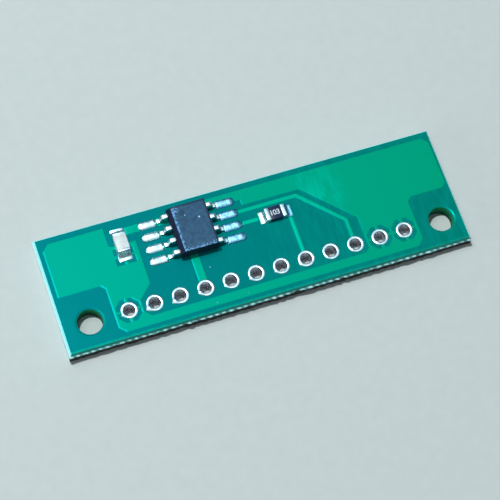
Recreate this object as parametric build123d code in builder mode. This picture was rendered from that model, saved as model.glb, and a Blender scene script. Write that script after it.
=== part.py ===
"""Immobilizer emulator: a small populated circuit board, in millimetres.

The origin is under the centre of the board, on the plane it rests on. X runs along the row of
wire holes, Y runs from the holes to the back edge and Z runs up out of the component side.
"""

from build123d import *
from math import radians, sqrt, tan
import os

os.makedirs("parts", exist_ok=True)

# ---- Driving dimensions --------------------------------------------------------------------

# Wire holes and mounting holes share one line along the front of the board.
hole_count = 12
hole_pitch = 2.54
hole_bore = 1.1
ring_diameter = 1.52
ring_tin = 0.03
mount_hole = 2.5
mount_hole_step = 3.86  # from the last wire hole to the mounting hole beside it
mount_edge_left = 2.6
mount_edge_right = 1.99
row_to_front = 2.567

# Board, scored with a V cutter on both faces and snapped out of its panel.
board_width = 11.8
laminate_thickness = 1.535  # with the mask on its underside
score_depth = 0.5
score_half_angle = 28

# Copper foil and solder mask.
foil = 0.035
mask_cover = 0.02
mask_wrap = 0.05
mask_setback = 0.02
opening_margin = 0.05
ring_opening_margin = 0.1
mount_opening_margin = 0.05

# Ground copper.
pour_left_margin = 0.51
pour_right_margin = 0.22
pour_front_margin = 0.58
pour_back_margin = 0.6
pour_corner = 0.62
pour_small_corner = 0.43
strip_overhang = 1.4  # front strip, beyond the centre of the end wire holes
shoulder_drop = 6.1  # front edge of the wide end areas, from the back edge
field_front = 1.4  # front edge of the open middle, from the front edge of the board
field_left_slope = 4.6  # top of the open middle's left slope, from the front edge
field_clear_first = 1.32  # from the first wire hole to the open middle
beside_chip_clearance = 0.6
beside_track_clearance = 1.185  # from a track's centre line to the area, right of it
behind_track_clearance = 0.58
slope_clearance = 0.774
mount_clearance = 0.25
pad_8_lap = 0.06
pad_8_clearance = 0.66
under_chip_reach = 0.95
relief_corner = 0.6
spoke_width = 0.24
relief_band = 0.16  # copper left between the windows of two neighbouring holes

# Tracks.
signal_width = 0.26
supply_width = 0.74
pin_7_bend = 5.23  # end of the sloping stretch, from the front edge

# Which wire hole and which chip pin each net runs to.
grounded_holes = (1, 11, 12)
supply_hole = 4
resistor_hole = 8
pin_7_hole = 10
supply_pin = 1
resistor_pin = 6
ground_pin = 8
lone_pins = (2, 3, 4, 5)

# Chip: eight-lead small outline package.
chip_x = 0.57  # right of the supply hole
chip_y = 3.375  # from the back edge
chip_width = 3.9
chip_length = 4.9
chip_lower = 0.72
chip_upper = 0.72
chip_standoff = 0.12
chip_draft = 7
chip_bevel = 0.3
chip_bevel_drop = 0.28
dimple_diameter = 0.62
dimple_depth = 0.06
dimple_from_side = 1.25
dimple_from_back = 0.92
lead_pitch = 1.27
lead_width = 0.42
lead_thickness = 0.2
lead_root = 0.35
lead_span = 6.0
lead_foot = 0.38
lead_rake = 0.17  # how far the leg leans out between its shoulder and its heel
lead_bend = 0.16
lead_seat = 0.03
lead_lap = 0.1  # how far the foot reaches onto its pad
chip_pad_length = 1.98
chip_pad_width = 0.8
chip_solder_height = 0.17
chip_solder_slope = 42

# Two-terminal chip parts, 2.0 x 1.25 mm.
capacitor_x = 6.9  # left of the chip's centre
capacitor_y = 2.71  # from the back edge
capacitor_length = 2.0
capacitor_width = 1.25
capacitor_height = 0.85
capacitor_cap = 0.3
capacitor_edge = 0.1
capacitor_pad_length = 1.06
capacitor_pad_width = 1.44
capacitor_pad_gap = 1.2
capacitor_solder_height = 0.6
capacitor_relief_side = 0.3
capacitor_relief_end = 0.38
capacitor_relief_corner = 0.08
supply_pad_clearance = 0.56
supply_side_clearance = 0.5

resistor_offset = 1.345  # centre of the resistor, left of the hole that its track runs to
resistor_length = 2.0
resistor_width = 1.25
resistor_height = 0.55
resistor_cap = 0.36
resistor_cap_thickness = 0.05
resistor_coat_gap = 0.03
resistor_coat = 0.05
resistor_pad_length = 0.95
resistor_pad_width = 1.33
resistor_pad_gap = 1.48
resistor_solder_height = 0.42
part_seat = 0.03
solder_sag = 0.34  # height of a fillet's middle, as a share of its rise and its reach

# ---- Sizes that follow -----------------------------------------------------------------------

row_span = (hole_count - 1) * hole_pitch
board_length = mount_edge_left + mount_hole_step + row_span + mount_hole_step + mount_edge_right
score_ridge = score_depth * tan(radians(score_half_angle))

left_edge = -board_length / 2
right_edge = board_length / 2
front_edge = -board_width / 2
back_edge = board_width / 2

laminate_top = laminate_thickness
copper_top = laminate_top + foil

first_hole_x = left_edge + mount_edge_left + mount_hole_step
row_y = front_edge + row_to_front
row_centre_x = first_hole_x + row_span / 2
mount_spacing = row_span + 2 * mount_hole_step
ring_radius = ring_diameter / 2
ring_opening = ring_radius + ring_opening_margin
relief_width = hole_pitch - relief_band

chip_pad_inner = lead_span / 2 - lead_lap
chip_pad_outer = chip_pad_inner + chip_pad_length


def hole_x(number):
    return first_hole_x + (number - 1) * hole_pitch


chip_centre_x = hole_x(supply_hole) + chip_x
chip_centre_y = back_edge - chip_y
capacitor_centre_x = chip_centre_x - capacitor_x
capacitor_centre_y = back_edge - capacitor_y


def pin_side(pin):
    """Pins 1 to 4 are on the left, 5 to 8 on the right."""
    return -1 if pin <= 4 else 1


def pin_y(pin):
    """Pin 1 is at the back left, and the count goes round to pin 8 at the back right."""
    steps = 2.5 - pin if pin <= 4 else pin - 6.5
    return chip_centre_y + steps * lead_pitch


resistor_centre_x = hole_x(resistor_hole) - resistor_offset
resistor_centre_y = pin_y(resistor_pin)

# ---- Artwork: outlines shared by the copper, the mask and the solder ---------------------------


def draw_chip_pad(pin, margin=0.0):
    """A pad with a round outer end, drawn in the sketch that is open."""
    straight = chip_pad_length - chip_pad_width / 2
    middle = chip_pad_inner + straight / 2
    with Locations((chip_centre_x + pin_side(pin) * middle, pin_y(pin))):
        Rectangle(straight + 2 * margin, chip_pad_width + 2 * margin)
    round_x = chip_centre_x + pin_side(pin) * (chip_pad_outer - chip_pad_width / 2)
    with Locations((round_x, pin_y(pin))):
        Circle(chip_pad_width / 2 + margin)


def draw_capacitor_pad(end, margin=0.0):
    """End 1 is the back, supply pad and end -1 the front, ground pad."""
    offset_y = (capacitor_pad_gap + capacitor_pad_length) / 2
    with Locations((capacitor_centre_x, capacitor_centre_y + end * offset_y)):
        Rectangle(capacitor_pad_width + 2 * margin, capacitor_pad_length + 2 * margin)


def draw_resistor_pad(end, margin=0.0):
    """End -1 is the pad beside the chip and end 1 the pad whose track runs to a wire hole."""
    offset_x = (resistor_pad_gap + resistor_pad_length) / 2
    with Locations((resistor_centre_x + end * offset_x, resistor_centre_y)):
        Rectangle(resistor_pad_length + 2 * margin, resistor_pad_width + 2 * margin)


def draw_track(points, width):
    with BuildLine() as route:
        Polyline(*points)
    trace(route.edges(), line_width=width)


def clear_ring(number):
    with Locations((hole_x(number), row_y)):
        Circle(ring_radius, mode=Mode.SUBTRACT)


def draw_mount_holes(radius, mode=Mode.ADD):
    for end in (-1, 1):
        with Locations((row_centre_x + end * mount_spacing / 2, row_y)):
            Circle(radius, mode=mode)


def ground_outline():
    """Corners of the ground area, from the front strip's left end round the board and back."""
    strip_left = hole_x(1) - strip_overhang
    strip_right = hole_x(hole_count) + strip_overhang
    area_left = left_edge + pour_left_margin
    area_right = right_edge - pour_right_margin
    area_front = front_edge + pour_front_margin
    area_back = back_edge - pour_back_margin
    shoulder = back_edge - shoulder_drop
    open_front = front_edge + field_front
    open_back = pin_y(7) + behind_track_clearance
    open_left = hole_x(1) + field_clear_first
    open_right = hole_x(pin_7_hole) + beside_track_clearance
    left_slope_top = front_edge + field_left_slope
    right_slope_foot = front_edge + pin_7_bend + slope_clearance * sqrt(2) - beside_track_clearance
    beside_chip = chip_centre_x - chip_pad_outer - beside_chip_clearance
    under_chip = chip_centre_x + under_chip_reach
    under_capacitor = capacitor_centre_y + capacitor_pad_gap / 2 - supply_pad_clearance
    beside_capacitor = capacitor_centre_x - capacitor_pad_width / 2 - supply_side_clearance
    pad_8_front = pin_y(ground_pin) - pad_8_lap
    pad_8_end = chip_centre_x + chip_pad_outer + pad_8_clearance
    return [
        (strip_left + pour_corner, area_front),
        (strip_right - pour_corner, area_front),
        (strip_right, area_front + pour_corner),
        (strip_right, shoulder - pour_small_corner),
        (strip_right + pour_small_corner, shoulder),
        (area_right - pour_small_corner, shoulder),
        (area_right, shoulder + pour_small_corner),
        (area_right, area_back - pour_corner),
        (area_right - pour_corner, area_back),
        (under_chip, area_back),
        (under_chip, pad_8_front),
        (pad_8_end, pad_8_front),
        (pad_8_end, open_back),
        (open_right - (open_back - right_slope_foot), open_back),
        (open_right, right_slope_foot),
        (open_right, open_front + pour_small_corner),
        (open_right - pour_small_corner, open_front),
        (open_left + pour_corner, open_front),
        (open_left, open_front + pour_corner),
        (open_left, left_slope_top - (beside_chip - open_left)),
        (beside_chip, left_slope_top),
        (beside_chip, under_capacitor),
        (beside_capacitor + pour_small_corner / 2, under_capacitor),
        (beside_capacitor, under_capacitor + pour_small_corner / 2),
        (beside_capacitor, area_back),
        (area_left + pour_corner, area_back),
        (area_left, area_back - pour_corner),
        (area_left, shoulder),
        (strip_left - pour_small_corner, shoulder),
        (strip_left, shoulder - pour_small_corner),
        (strip_left, area_front + pour_corner),
    ]


def draw_ground(wrap):
    with BuildLine() as border:
        Polyline(*ground_outline(), close=True)
    make_face(border.edges())
    offset(amount=wrap, kind=Kind.INTERSECTION, mode=Mode.REPLACE)
    for number in grounded_holes:
        draw_relief(hole_x(number), row_y, relief_width, relief_width, relief_corner, wrap)
    pad_y = capacitor_centre_y - (capacitor_pad_gap + capacitor_pad_length) / 2
    window_width = capacitor_pad_width + 2 * capacitor_relief_side
    window_length = capacitor_pad_length + 2 * capacitor_relief_end
    corner = capacitor_relief_corner
    draw_relief(capacitor_centre_x, pad_y, window_width, window_length, corner, wrap)
    draw_capacitor_pad(-1, wrap)
    draw_chip_pad(ground_pin, wrap)
    draw_mount_holes(mount_hole / 2 + mount_clearance, Mode.SUBTRACT)
    for number in grounded_holes:
        clear_ring(number)


def draw_relief(x, y, width, length, corner, wrap):
    """A window in the ground area with a cross of four spokes."""
    with BuildSketch(mode=Mode.PRIVATE) as window:
        with Locations((x, y)):
            Rectangle(width - 2 * wrap, length - 2 * wrap)
        chamfer(window.vertices(), corner)
    add(window.sketch, mode=Mode.SUBTRACT)
    with Locations((x, y)):
        Rectangle(width, spoke_width + 2 * wrap)
        Rectangle(spoke_width + 2 * wrap, length)


def draw_supply(wrap):
    width = supply_width + 2 * wrap
    pad_1_end = (chip_centre_x - chip_pad_inner, pin_y(supply_pin))
    below_chip = (hole_x(supply_hole), pin_y(supply_pin))
    draw_capacitor_pad(1, wrap)
    draw_chip_pad(supply_pin, wrap)
    draw_track([(capacitor_centre_x, pin_y(supply_pin)), pad_1_end], width)
    draw_track([pad_1_end, below_chip, (hole_x(supply_hole), row_y)], width)
    clear_ring(supply_hole)


def draw_pin_7(wrap):
    bend_y = front_edge + pin_7_bend
    slope = pin_y(7) - bend_y
    end_x = hole_x(pin_7_hole)
    start = (chip_centre_x + chip_pad_inner, pin_y(7))
    route = [start, (end_x - slope, pin_y(7)), (end_x, bend_y), (end_x, row_y)]
    draw_chip_pad(7, wrap)
    draw_track(route, signal_width + 2 * wrap)
    clear_ring(pin_7_hole)


def draw_pin_6(wrap):
    start = (chip_centre_x + chip_pad_inner, resistor_centre_y)
    end = (resistor_centre_x - resistor_pad_gap / 2, resistor_centre_y)
    draw_chip_pad(resistor_pin, wrap)
    draw_resistor_pad(-1, wrap)
    draw_track([start, end], signal_width + 2 * wrap)


def draw_resistor_track(wrap):
    end_x = hole_x(resistor_hole)
    draw_resistor_pad(1, wrap)
    draw_track([(end_x, resistor_centre_y), (end_x, row_y)], signal_width + 2 * wrap)
    clear_ring(resistor_hole)


draw_net = {
    "ground_copper": draw_ground,
    "supply_copper": draw_supply,
    "pin_7_copper": draw_pin_7,
    "pin_6_copper": draw_pin_6,
    "resistor_track_copper": draw_resistor_track,
}
foil_art = {}
cover_art = {}
for name, draw in draw_net.items():
    with BuildSketch() as net:
        draw(0)
    foil_art[name] = net.sketch
    with BuildSketch() as cover:
        draw(mask_wrap)
    cover_art[name] = cover.sketch
for pin in lone_pins:
    with BuildSketch() as pad:
        draw_chip_pad(pin)
    foil_art[f"chip_pad_{pin}"] = pad.sketch


def draw_openings(margin):
    """Every place where the mask leaves the metal bare."""
    for number in range(1, hole_count + 1):
        with Locations((hole_x(number), row_y)):
            Circle(ring_opening)
    for pin in range(1, 9):
        draw_chip_pad(pin, margin)
    for end in (-1, 1):
        draw_capacitor_pad(end, margin)
        draw_resistor_pad(end, margin)
    draw_mount_holes(mount_hole / 2 + mount_opening_margin)


# ---- Board laminate ----------------------------------------------------------------------------

web_bottom = score_depth
web_top = laminate_top - score_depth
ridge_length = board_length + 2 * score_ridge
ridge_width = board_width + 2 * score_ridge

with BuildPart() as laminate:
    with BuildSketch(Plane.XY.offset(web_bottom)):
        Rectangle(ridge_length, ridge_width)
    extrude(amount=web_top - web_bottom)
    with BuildSketch(Plane.XY.offset(web_top)):
        Rectangle(ridge_length, ridge_width)
    extrude(amount=score_depth, taper=score_half_angle)
    with BuildSketch(Plane.XY.offset(web_bottom)):
        Rectangle(ridge_length, ridge_width)
    extrude(amount=-score_depth, taper=score_half_angle)
    with BuildSketch(Plane.XY):
        for number in range(1, hole_count + 1):
            with Locations((hole_x(number), row_y)):
                Circle(ring_radius)
        draw_mount_holes(mount_hole / 2)
    extrude(amount=laminate_thickness, mode=Mode.SUBTRACT)

laminate.part.label = "board_laminate"
export_step(laminate.part, "parts/board_laminate.step")

# ---- Copper foil, one piece for each net ---------------------------------------------------------

for name, art in foil_art.items():
    with BuildPart() as copper:
        with BuildSketch(Plane.XY.offset(laminate_top)):
            add(art)
        extrude(amount=foil)
    copper.part.label = name
    export_step(copper.part, f"parts/{name}.step")

# ---- Solder mask on the component side -----------------------------------------------------------

mask_length = board_length - 2 * mask_setback
mask_width = board_width - 2 * mask_setback

with BuildSketch() as openings:
    draw_openings(opening_margin)

with BuildPart() as top_mask:
    with BuildSketch(Plane.XY.offset(laminate_top)):
        Rectangle(mask_length, mask_width)
        for art in foil_art.values():
            add(art, mode=Mode.SUBTRACT)
        add(openings.sketch, mode=Mode.SUBTRACT)
    extrude(amount=foil)
    with BuildSketch(Plane.XY.offset(copper_top)):
        for art in cover_art.values():
            add(art)
        add(openings.sketch, mode=Mode.SUBTRACT)
    extrude(amount=mask_cover)

top_mask.part.label = "top_solder_mask"
export_step(top_mask.part, "parts/top_solder_mask.step")

# ---- Plated wire holes: a tinned barrel whose ends are the rings on the two faces ---------------

for number in range(1, hole_count + 1):
    with BuildPart() as plated_hole:
        with BuildSketch(Plane((hole_x(number), row_y, 0))):
            Circle(ring_radius)
            Circle(hole_bore / 2, mode=Mode.SUBTRACT)
        extrude(amount=copper_top + ring_tin)
    plated_hole.part.label = f"plated_hole_{number:02d}"
    export_step(plated_hole.part, f"parts/plated_hole_{number:02d}.step")

# ---- Chip: leads, moulded body and solder joints -------------------------------------------------

lead_centre_z = copper_top + lead_seat + chip_standoff + chip_lower
foot_centre_z = copper_top + lead_seat + lead_thickness / 2
lead_heel = lead_span / 2 - lead_foot
body_half = chip_width / 2
leads = {}

for pin in range(1, 9):
    side = pin_side(pin)
    lead_plane = Plane((chip_centre_x, pin_y(pin), 0), x_dir=(side, 0, 0), z_dir=(0, -side, 0))
    with BuildPart() as lead:
        with BuildSketch(lead_plane):
            with BuildLine():
                FilletPolyline(
                    (body_half - lead_root, lead_centre_z),
                    (lead_heel - lead_rake, lead_centre_z),
                    (lead_heel, foot_centre_z),
                    (lead_span / 2, foot_centre_z),
                    radius=lead_bend,
                )
            trace(line_width=lead_thickness)
        extrude(amount=lead_width / 2, both=True)
    lead.part.label = f"chip_lead_{pin}"
    export_step(lead.part, f"parts/chip_lead_{pin}.step")
    leads[pin] = lead.part

with BuildPart() as chip_body:
    with BuildSketch(Plane((chip_centre_x, chip_centre_y, lead_centre_z))):
        Rectangle(chip_width, chip_length)
    extrude(amount=chip_upper, taper=chip_draft)
    with BuildSketch(Plane((chip_centre_x, chip_centre_y, lead_centre_z))):
        Rectangle(chip_width, chip_length)
    extrude(amount=-chip_lower, taper=chip_draft)
    top_face = chip_body.faces().sort_by(Axis.Z)[-1]
    pin_1_edge = top_face.edges().filter_by(Axis.Y).sort_by(Axis.X)[0]
    chamfer(pin_1_edge, length=chip_bevel, length2=chip_bevel_drop, reference=top_face)
    dimple_x = chip_centre_x - body_half + dimple_from_side
    dimple_y = chip_centre_y + chip_length / 2 - dimple_from_back
    with BuildSketch(Plane((dimple_x, dimple_y, lead_centre_z + chip_upper))):
        Circle(dimple_diameter / 2)
    extrude(amount=-dimple_depth, taper=chip_draft, mode=Mode.SUBTRACT)
    for lead_part in leads.values():
        add(lead_part, mode=Mode.SUBTRACT)

chip_body.part.label = "chip_body"
export_step(chip_body.part, "parts/chip_body.step")

for pin in range(1, 9):
    with BuildPart() as chip_solder:
        with BuildSketch(Plane.XY.offset(copper_top)):
            draw_chip_pad(pin)
        extrude(amount=chip_solder_height, taper=chip_solder_slope)
        add(leads[pin], mode=Mode.SUBTRACT)
    chip_solder.part.label = f"chip_solder_{pin}"
    export_step(chip_solder.part, f"parts/chip_solder_{pin}.step")

# ---- Capacitor: ceramic block with plated ends ---------------------------------------------------

part_bottom = copper_top + part_seat


def end_solder_profile(pad_inner, pad_outer, part_end, rise):
    """Solder under and against a plated end: X outwards from the part's middle, Z up."""
    with BuildLine() as outline:
        Polyline(
            (part_end, copper_top + rise),
            (part_end, part_bottom),
            (pad_inner, part_bottom),
            (pad_inner, copper_top),
            (pad_outer, copper_top),
        )
        sag_x = part_end + solder_sag * (pad_outer - part_end)
        sag_z = copper_top + solder_sag * rise
        ThreePointArc((pad_outer, copper_top), (sag_x, sag_z), (part_end, copper_top + rise))
    make_face(outline.edges())


with BuildPart() as capacitor_body:
    with BuildSketch(Plane((capacitor_centre_x, capacitor_centre_y, part_bottom))):
        Rectangle(capacitor_width, capacitor_length - 2 * capacitor_cap)
    extrude(amount=capacitor_height)
    chamfer(capacitor_body.edges().filter_by(Axis.Y), length=capacitor_edge)

capacitor_body.part.label = "capacitor_body"
export_step(capacitor_body.part, "parts/capacitor_body.step")

for end, place in ((-1, "front"), (1, "back")):
    cap_y = capacitor_centre_y + end * (capacitor_length - capacitor_cap) / 2
    with BuildPart() as capacitor_end:
        with BuildSketch(Plane((capacitor_centre_x, cap_y, part_bottom))):
            Rectangle(capacitor_width, capacitor_cap)
        extrude(amount=capacitor_height)
        chamfer(capacitor_end.edges().filter_by(Axis.Y), length=capacitor_edge)
        outer_face = capacitor_end.faces().sort_by(Axis.Y)[-1 if end > 0 else 0]
        chamfer(outer_face.edges(), length=capacitor_edge / 2)
    capacitor_end.part.label = f"capacitor_termination_{place}"
    export_step(capacitor_end.part, f"parts/capacitor_termination_{place}.step")

    pad_inner = capacitor_pad_gap / 2
    pad_outer = pad_inner + capacitor_pad_length
    fillet_plane = Plane(
        (capacitor_centre_x, capacitor_centre_y, 0), x_dir=(0, end, 0), z_dir=(end, 0, 0)
    )
    with BuildPart() as capacitor_solder:
        with BuildSketch(fillet_plane):
            end_solder_profile(pad_inner, pad_outer, capacitor_length / 2, capacitor_solder_height)
        extrude(amount=capacitor_pad_width / 2, both=True)
        add(capacitor_end.part, mode=Mode.SUBTRACT)
    capacitor_solder.part.label = f"capacitor_solder_{place}"
    export_step(capacitor_solder.part, f"parts/capacitor_solder_{place}.step")

# ---- Resistor: ceramic slab, wrapped plated ends and a glass coat over the middle ----------------

slab_height = resistor_height - 2 * resistor_cap_thickness
slab_bottom = part_bottom + resistor_cap_thickness
slab_length = resistor_length - 2 * resistor_cap_thickness

with BuildPart() as resistor_body:
    with BuildSketch(Plane((resistor_centre_x, resistor_centre_y, slab_bottom))):
        Rectangle(slab_length, resistor_width)
    extrude(amount=slab_height)

resistor_body.part.label = "resistor_body"
export_step(resistor_body.part, "parts/resistor_body.step")

coat_length = resistor_length - 2 * resistor_cap - 2 * resistor_coat_gap
with BuildPart() as resistor_coating:
    with BuildSketch(Plane((resistor_centre_x, resistor_centre_y, slab_bottom + slab_height))):
        Rectangle(coat_length, resistor_width - 2 * resistor_coat_gap)
    extrude(amount=resistor_coat)
    chamfer(resistor_coating.faces().sort_by(Axis.Z)[-1].edges(), length=resistor_coat / 2)

resistor_coating.part.label = "resistor_coating"
export_step(resistor_coating.part, "parts/resistor_coating.step")

for end, place in ((-1, "left"), (1, "right")):
    cap_x = resistor_centre_x + end * (resistor_length - resistor_cap) / 2
    with BuildPart() as resistor_end:
        with BuildSketch(Plane((cap_x, resistor_centre_y, part_bottom))):
            Rectangle(resistor_cap, resistor_width)
        extrude(amount=resistor_height)
        add(resistor_body.part, mode=Mode.SUBTRACT)
        outer_face = resistor_end.faces().sort_by(Axis.X)[-1 if end > 0 else 0]
        chamfer(outer_face.edges().filter_by(Axis.Y), length=resistor_cap_thickness / 2)
    resistor_end.part.label = f"resistor_termination_{place}"
    export_step(resistor_end.part, f"parts/resistor_termination_{place}.step")

    pad_inner = resistor_pad_gap / 2
    pad_outer = pad_inner + resistor_pad_length
    fillet_plane = Plane(
        (resistor_centre_x, resistor_centre_y, 0), x_dir=(end, 0, 0), z_dir=(0, -end, 0)
    )
    with BuildPart() as resistor_solder:
        with BuildSketch(fillet_plane):
            end_solder_profile(pad_inner, pad_outer, resistor_length / 2, resistor_solder_height)
        extrude(amount=resistor_pad_width / 2, both=True)
        add(resistor_end.part, mode=Mode.SUBTRACT)
    resistor_solder.part.label = f"resistor_solder_{place}"
    export_step(resistor_solder.part, f"parts/resistor_solder_{place}.step")

print("board", round(board_length, 3), "x", board_width, "ridge", round(score_ridge, 3))
print("holes", round(row_centre_x, 3), round(row_y, 3), "mount spacing", round(mount_spacing, 3))
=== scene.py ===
"""Immobilizer emulator: a small green circuit board with one chip, a capacitor and a resistor.

Sizes are in millimetres until add_piece() turns them into metres; the floor, the lamps and the
camera are in metres. X runs along the row of wire holes, Y from the holes to the back edge, and Z
up out of the component side.
"""
import bpy
import bmesh
from math import acos, atan2, cos, hypot, pi, radians, sin, sqrt
from mathutils import Matrix, Vector, noise


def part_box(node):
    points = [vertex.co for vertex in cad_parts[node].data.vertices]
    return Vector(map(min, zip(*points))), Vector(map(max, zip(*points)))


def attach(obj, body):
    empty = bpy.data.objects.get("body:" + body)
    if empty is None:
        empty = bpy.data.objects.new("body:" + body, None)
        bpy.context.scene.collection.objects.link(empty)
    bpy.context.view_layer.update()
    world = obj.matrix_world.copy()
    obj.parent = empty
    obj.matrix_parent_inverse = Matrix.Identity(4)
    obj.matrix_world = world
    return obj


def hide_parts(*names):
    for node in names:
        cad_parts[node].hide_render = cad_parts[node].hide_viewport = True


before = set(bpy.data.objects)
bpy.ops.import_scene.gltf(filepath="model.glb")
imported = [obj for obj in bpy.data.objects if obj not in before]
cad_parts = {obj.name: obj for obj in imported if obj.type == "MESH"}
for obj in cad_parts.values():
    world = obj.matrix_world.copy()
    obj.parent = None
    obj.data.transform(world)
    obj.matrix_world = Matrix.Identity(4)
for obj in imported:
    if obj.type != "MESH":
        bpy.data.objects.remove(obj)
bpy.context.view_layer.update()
scene = bpy.context.scene

# ---- Board laminate ----------------------------------------------------------------------------
# Glass cloth in epoxy, 1.5 mm thick. The panel is scored with a V on both faces and snapped, so
# the ridge between the two cuts is torn glass fibre. The holes are drilled.

METRE = 1000.0
WELD = 0.001  # points nearer to each other than this are one


def srgb(code):
    """A hex colour as it looks on a screen, turned into the linear values that shaders take."""
    parts = [int(code[i : i + 2], 16) / 255 for i in (0, 2, 4)]
    return [p / 12.92 if p <= 0.04045 else ((p + 0.055) / 1.055) ** 2.4 for p in parts] + [1.0]


def feed(node, inputs):
    """Fills a shader node's inputs: an output is linked to its input, a value written into it."""
    for socket, value in inputs.items():
        if isinstance(value, bpy.types.NodeSocket):
            node.id_data.links.new(value, node.inputs[socket])
        else:
            node.inputs[socket].default_value = value


def add_node(tree, kind, inputs=None, **settings):
    """One shader node, with what goes into it and its own switches."""
    node = tree.nodes.new("ShaderNode" + kind)
    for name, value in settings.items():
        setattr(node, name, value)
    feed(node, inputs or {})
    return node


def new_material(name):
    """An empty material with its surface shader and its place in millimetres."""
    material = bpy.data.materials.new(name)
    material.use_nodes = True
    tree = material.node_tree
    surface = tree.nodes["Principled BSDF"]
    place = add_node(tree, "TexCoord").outputs["Object"]
    millimetres = add_node(tree, "Mapping", {"Vector": place, "Scale": [METRE] * 3}).outputs[0]
    return material, tree, surface, millimetres


def size_of(*nodes):
    """Lowest and highest corner in millimetres of the solids named."""
    boxes = [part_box(node) for node in nodes]
    low = Vector([min(b[0][i] for b in boxes) * METRE for i in range(3)])
    high = Vector([max(b[1][i] for b in boxes) * METRE for i in range(3)])
    return low, high


def copy_of(node):
    """A copy of a solid's mesh in millimetres, its loose triangles joined at their corners."""
    work = bmesh.new()
    work.from_mesh(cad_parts[node].data)
    bmesh.ops.scale(work, vec=[METRE] * 3, verts=work.verts)
    bmesh.ops.remove_doubles(work, verts=work.verts, dist=WELD)
    return work


def add_piece(name, work, materials, replaced=(), crease=32):
    """Turns a finished bmesh into a piece that rides on the board."""
    for edge in work.edges:
        edge.smooth = edge.calc_face_angle(0.0) < radians(crease)
    for face in work.faces:
        face.smooth = True
    bmesh.ops.scale(work, vec=[1 / METRE] * 3, verts=work.verts)
    mesh = bpy.data.meshes.new(name)
    work.to_mesh(mesh)
    work.free()
    for material in materials:
        mesh.materials.append(material)
    piece = bpy.data.objects.new(name, mesh)
    scene.collection.objects.link(piece)
    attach(piece, "root")
    if replaced:
        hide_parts(*replaced)


def draw_out(work, edges):
    """Draws one more row of faces out of open edges. Returns the row's points and outer edges."""
    made = bmesh.ops.extrude_edge_only(work, edges=edges)["geom"]
    points = {g for g in made if isinstance(g, bmesh.types.BMVert)}
    outer = [g for g in made if isinstance(g, bmesh.types.BMEdge) and set(g.verts) <= points]
    return points, outer


board_low, board_high = size_of("board_laminate")
laminate_top = board_high.z
copper_top = size_of("ground_copper")[1].z
mask_top = size_of("top_solder_mask")[1].z

SCORE = 0.5  # depth of the cut in each face
EDGE_STEP = 0.12  # from point to point along the edge
EDGE_SLACK = 0.002  # keeps the dressed edge inside the board's own size
YARN_SPACING = 0.72
YARN_TUFT = 0.2  # real filaments are too fine to show, so they are drawn as tufts
LEDGE = (0.97, 1.04)  # heights between which the web gives way to pale yarn ends
TEAR_DEPTH = 0.13
TEAR_MEAN, TUFT_SHARE, BITE_SHARE = 0.45, 0.7, 0.5
TOOL_LINES = (1.2, 1.2, 7.0)  # to the millimetre; they run round the cut


def torn(x, y, z):
    """Share of TEAR_DEPTH by which the torn glass lies back: tufts of yarn on longer bites."""
    tuft = noise.noise(Vector((x, y, z * 0.6)) * (2 / YARN_SPACING))
    bite = noise.noise(Vector((x * 0.7 + 40, y * 0.7, z * 0.8)))
    return min(max(TEAR_MEAN + TUFT_SHARE * tuft + BITE_SHARE * bite, 0.0), 1.0)


def torn_glass(name, deep, shallow):
    """FR-4 laminate, snapped: pale ends of glass yarn, a bundle at each YARN_SPACING, above a web
    whose tone runs from deep to shallow."""
    material, tree, surface, place = new_material(name)
    x, y, height = add_node(tree, "SeparateXYZ", {0: place}).outputs[:]
    along = add_node(tree, "Math", {0: x, 1: y}, operation="ADD").outputs[0]
    path = add_node(tree, "CombineXYZ", {0: along, 2: height}).outputs[0]
    # at a scale of 1 the wave comes round every 2 pi / 20
    bundle = add_node(
        tree, "TexWave",
        {"Vector": path, "Scale": 2 * pi / 20 / YARN_SPACING, "Distortion": 1.6, "Detail": 2.0,
         "Detail Scale": 1.2},
        bands_direction="X",
    ).outputs[1]
    fibre = add_node(
        tree, "TexNoise", {"Vector": place, "Scale": 1 / YARN_TUFT, "Detail": 3.0}
    ).outputs[0]
    frayed = add_node(tree, "MapRange", {0: fibre, 1: 0.3, 2: 0.7, 3: -0.35, 4: 0.35}).outputs[0]
    stand = add_node(tree, "Math", {0: bundle, 1: frayed}, operation="ADD").outputs[0]
    stand = add_node(tree, "MapRange", {0: stand, 1: 0.25, 2: 0.75}).outputs[0]
    torn_top = add_node(
        tree, "Mix", {0: stand, 6: srgb("62A6AC"), 7: srgb("C2FFFF")}, data_type="RGBA"
    ).outputs[2]
    web_tone = add_node(
        tree, "Mix", {0: fibre, 6: srgb(deep), 7: srgb(shallow)}, data_type="RGBA"
    ).outputs[2]
    ledge = add_node(tree, "MapRange", {0: height, 1: LEDGE[0], 2: LEDGE[1]}).outputs[0]
    colour = add_node(
        tree, "Mix", {0: ledge, 6: web_tone, 7: torn_top}, data_type="RGBA"
    ).outputs[2]
    bump = add_node(tree, "Bump", {"Height": fibre, "Strength": 0.5, "Distance": 0.05 / METRE})
    feed(surface, {"Base Color": colour, "Normal": bump.outputs[0]})
    feed(surface, {"Roughness": 0.6, "Specular IOR Level": 0.1})
    return material


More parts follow.
